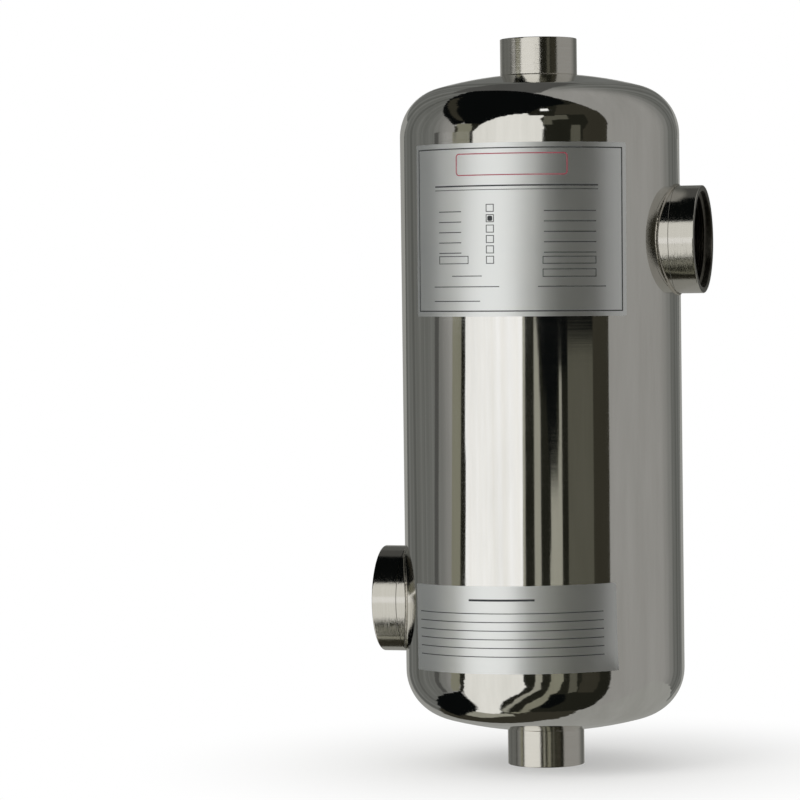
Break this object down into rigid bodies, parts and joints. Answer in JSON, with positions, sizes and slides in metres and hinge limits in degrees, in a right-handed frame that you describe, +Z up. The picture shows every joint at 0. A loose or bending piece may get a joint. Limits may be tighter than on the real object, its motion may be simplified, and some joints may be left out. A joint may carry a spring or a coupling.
{
  "type": "shell and tube heat exchanger",
  "caption": "Upright polished steel shell with dished ends, threaded sockets at its ends and sides and a bundle of straight tubes inside; passes heat between two streams of water.",
  "frame": {"origin": "centre of the lower end socket's rim, on the floor the exchanger stands on", "axes": "+Z up the shell's axis, +X out of the upper side port, -X out of the lower side port, -Y towards the front where the stickers are"},
  "size_m": [0.166, 0.14, 0.3641],
  "materials": {
    "polished_steel": "mirror polished stainless steel",
    "turned_steel": "fine turned stainless steel, lightly polished",
    "weld_steel": "weld bead, lightly heat tinted and brushed",
    "bundle_steel": "dull pickled stainless steel"
  },
  "bodies": {
    "root": {"shell": "polished_steel", "top_head": "polished_steel", "bottom_head": "polished_steel", "top_socket": "turned_steel", "bottom_socket": "turned_steel", "top_socket_weld": "weld_steel", "bottom_socket_weld": "weld_steel", "upper_port_collar": "turned_steel", "lower_port_collar": "turned_steel", "upper_port_socket": "turned_steel", "lower_port_socket": "turned_steel", "upper_port_weld": "weld_steel", "lower_port_weld": "weld_steel", "top_tube_sheet": "bundle_steel", "bottom_tube_sheet": "bundle_steel", "tube_row_1": "bundle_steel", "tube_row_2": "bundle_steel", "tube_row_3": "bundle_steel", "tube_row_4": "bundle_steel", "tube_row_5": "bundle_steel", "tube_row_6": "bundle_steel", "tube_row_7": "bundle_steel"}
  },
  "joints": []
}
